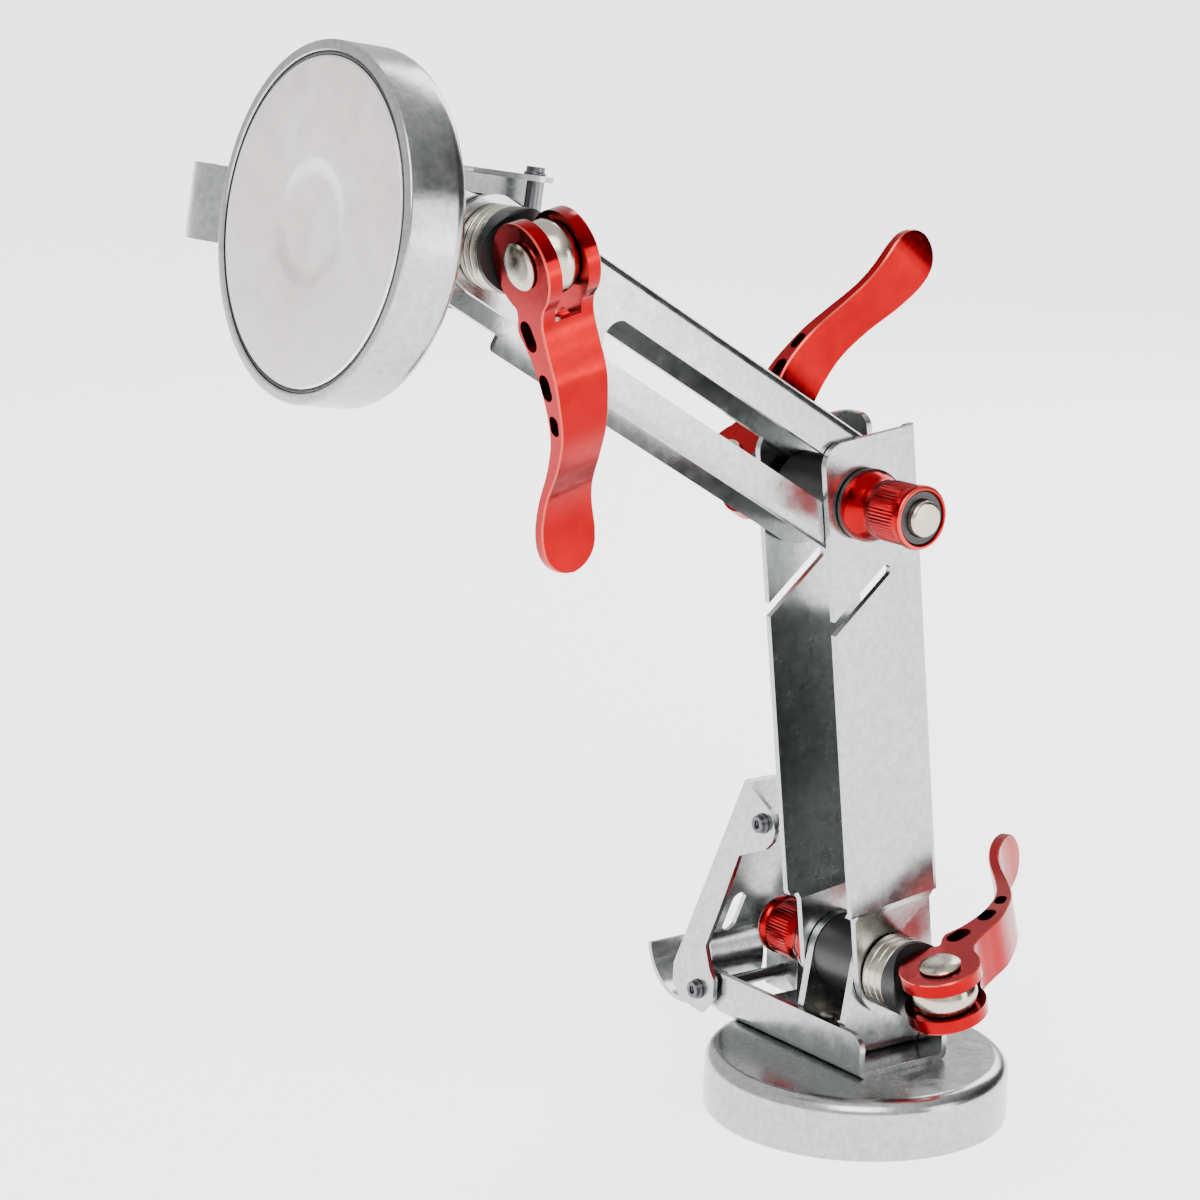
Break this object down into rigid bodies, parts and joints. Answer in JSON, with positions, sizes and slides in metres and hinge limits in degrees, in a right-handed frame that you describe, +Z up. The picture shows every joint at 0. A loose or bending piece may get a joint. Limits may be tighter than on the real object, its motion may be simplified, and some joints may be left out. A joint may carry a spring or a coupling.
{
  "type": "magnetic support clamp",
  "caption": "Magnetic support clamp: pot magnets with prying release levers on both ends of a folding sheet-steel arm, locked at each pivot by a red cam lever and a knurled nut.",
  "frame": {"origin": "centre of the lower magnet's face, the face the clamp stands on", "axes": "+Z up from the lower magnet's face; all three arm pivots run along Y; the arm leans towards -X, where the upper magnet is"},
  "size_m": [0.208, 0.1079, 0.2441],
  "materials": {
    "zinc_steel": "bright zinc plated sheet steel",
    "pole_plate": "satin plated steel",
    "nickel": "warm bright nickel",
    "red_anodised": "gloss red anodised",
    "black_plastic": "matt black",
    "black_resin": "cast resin"
  },
  "bodies": {
    "lower_head": {"lower_magnet_cup": "zinc_steel", "lower_magnet_disc": "pole_plate", "lower_resin_ring": "black_resin", "lower_base_channel": "zinc_steel", "lower_clevis_bracket": "zinc_steel", "lower_clevis_screws": "nickel", "lower_skewer_rod": "nickel", "lower_spacer_tube": "black_plastic", "lower_steel_washers": "nickel", "lower_cam_cup": "black_plastic"},
    "lower_release": {"lower_release_lever": "zinc_steel", "lower_release_pivot_bolt": "nickel", "lower_release_pivot_nut": "nickel", "lower_release_top_bolt": "nickel", "lower_release_top_nut": "nickel"},
    "lower_cam": {"lower_cam_lever": "red_anodised", "lower_cam_pin": "nickel"},
    "lower_nut": {"lower_knurled_nut": "red_anodised", "lower_nut_insert": "black_plastic", "lower_nut_washer": "black_plastic"},
    "lower_link": {"lower_arm": "zinc_steel"},
    "elbow_skewer": {"middle_skewer_rod": "nickel", "middle_spacer_tube": "black_plastic", "middle_steel_washers": "nickel", "middle_cam_cup": "black_plastic"},
    "elbow_cam": {"middle_cam_lever": "red_anodised", "middle_cam_pin": "nickel"},
    "elbow_nut": {"middle_knurled_nut": "red_anodised", "middle_nut_insert": "black_plastic", "middle_nut_washer": "black_plastic"},
    "upper_link": {"upper_arm": "zinc_steel"},
    "upper_head": {"upper_magnet_cup": "zinc_steel", "upper_magnet_disc": "pole_plate", "upper_resin_ring": "black_resin", "upper_base_channel": "zinc_steel", "upper_clevis_bracket": "zinc_steel", "upper_clevis_screws": "nickel", "upper_skewer_rod": "nickel", "upper_spacer_tube": "black_plastic", "upper_steel_washers": "nickel", "upper_cam_cup": "black_plastic"},
    "upper_release": {"upper_release_lever": "zinc_steel", "upper_release_pivot_bolt": "nickel", "upper_release_pivot_nut": "nickel", "upper_release_top_bolt": "nickel", "upper_release_top_nut": "nickel"},
    "upper_cam": {"upper_cam_lever": "red_anodised", "upper_cam_pin": "nickel"},
    "upper_nut": {"upper_knurled_nut": "red_anodised", "upper_nut_insert": "black_plastic", "upper_nut_washer": "black_plastic"}
  },
  "joints": [
    {"name": "lower_arm_tilt", "type": "hinge", "parent": "lower_head", "child": "lower_link", "pos_m": [0, 0, 0.036], "axis": [0, -1, 0], "range_deg": [-45, 60]},
    {"name": "elbow_fold", "type": "hinge", "parent": "lower_link", "child": "elbow_skewer", "pos_m": [-0.01499, 0, 0.14499], "axis": [0, 1, 0], "range_deg": [-60, 52]},
    {"name": "upper_arm_slide", "type": "slide", "parent": "elbow_skewer", "child": "upper_link", "axis": [0.859, 0, -0.512], "range_m": [0, 0.05]},
    {"name": "upper_head_tilt", "type": "hinge", "parent": "upper_link", "child": "upper_head", "pos_m": [-0.11141, 0, 0.20432], "axis": [0, 1, 0], "range_deg": [-60, 35]},
    {"name": "lower_release_swing", "type": "hinge", "parent": "lower_head", "child": "lower_release", "pos_m": [0, 0.041, 0.0188], "axis": [-1, 0, 0], "range_deg": [0, 33]},
    {"name": "upper_release_swing", "type": "hinge", "parent": "upper_head", "child": "upper_release", "pos_m": [-0.12843, 0.041, 0.20683], "axis": [0.1457, 0, 0.9893], "range_deg": [-7, 26]},
    {"name": "lower_cam_swing", "type": "hinge", "parent": "lower_head", "child": "lower_cam", "pos_m": [0, -0.0289, 0.036], "axis": [0.2605, 0, -0.9655], "range_deg": [0, 130]},
    {"name": "elbow_cam_swing", "type": "hinge", "parent": "elbow_skewer", "child": "elbow_cam", "pos_m": [-0.01499, 0.0307, 0.14499], "axis": [-0.7955, 0, 0.606], "range_deg": [0, 130]},
    {"name": "upper_cam_swing", "type": "hinge", "parent": "upper_head", "child": "upper_cam", "pos_m": [-0.11141, -0.0289, 0.20432], "axis": [-0.9699, 0, -0.2436], "range_deg": [0, 130]},
    {"name": "lower_nut_spin", "type": "hinge", "parent": "lower_head", "child": "lower_nut", "pos_m": [0, 0, 0.036], "axis": [0, 1, 0], "continuous": true},
    {"name": "elbow_nut_spin", "type": "hinge", "parent": "elbow_skewer", "child": "elbow_nut", "pos_m": [-0.01499, 0, 0.14499], "axis": [0, 1, 0], "continuous": true},
    {"name": "upper_nut_spin", "type": "hinge", "parent": "upper_head", "child": "upper_nut", "pos_m": [-0.11141, 0, 0.20432], "axis": [0, 1, 0], "continuous": true}
  ]
}
